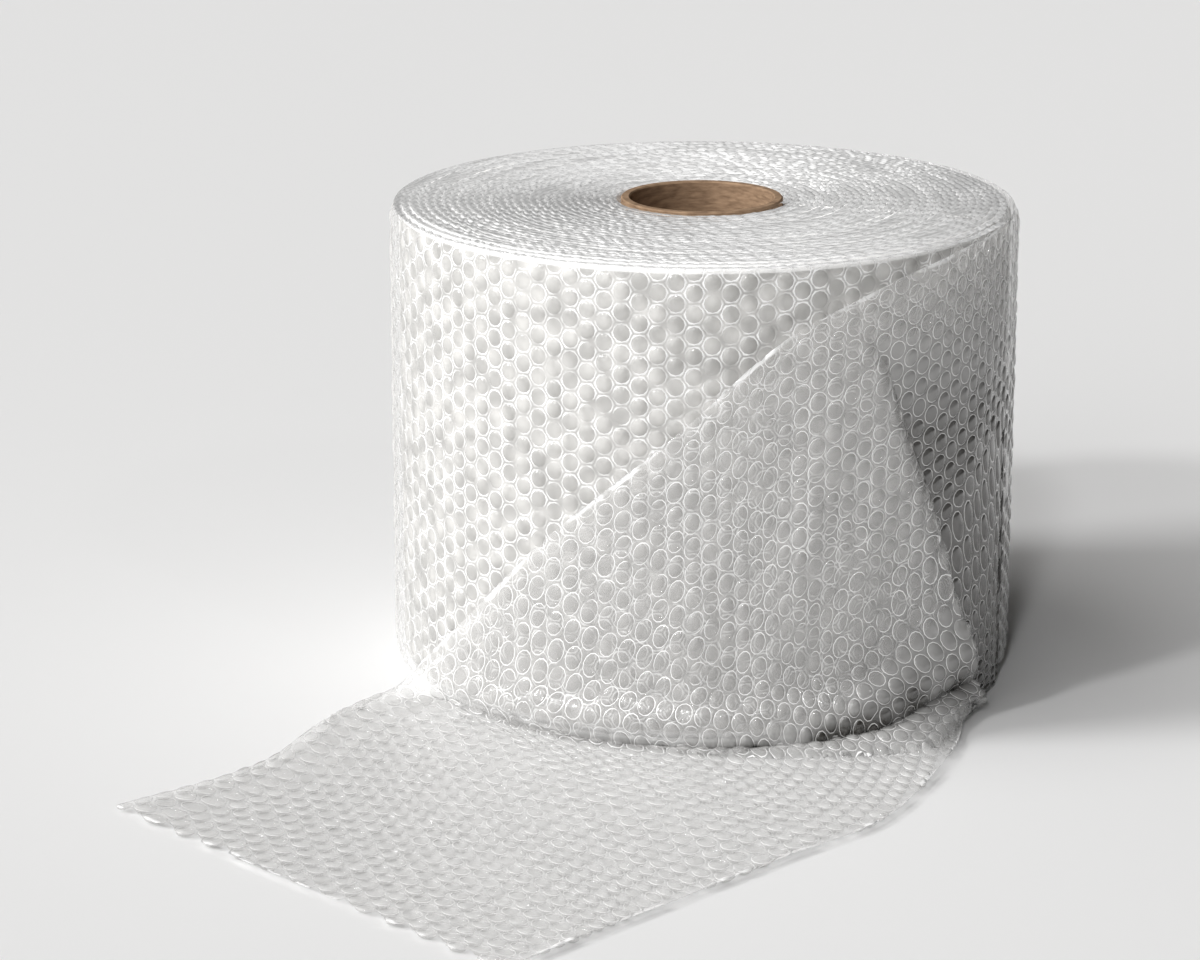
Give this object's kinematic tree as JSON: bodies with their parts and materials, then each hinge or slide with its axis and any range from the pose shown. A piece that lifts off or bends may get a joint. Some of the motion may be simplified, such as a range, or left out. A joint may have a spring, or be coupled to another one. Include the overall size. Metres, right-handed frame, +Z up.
{
  "type": "bubble wrap roll",
  "caption": "Roll of clear bubble wrap standing on its end on a cardboard core, its loose end drawn round the front and lying flat to a square cut end.",
  "frame": {"origin": "centre of the roll's lower end, on the surface that it stands on", "axes": "+Z up along the core, -Y towards the viewer and the loose tail, +X to the viewer's right"},
  "size_m": [0.4557, 0.6199, 0.25],
  "materials": {
    "cardboard": "matt brown paperboard with cut edges",
    "bubble_film": "clear glossy polyethylene film over air bubbles, milky where many layers lie together"
  },
  "bodies": {
    "root": {"cardboard_core": "cardboard", "bubble_wrap": "bubble_film"}
  },
  "joints": []
}
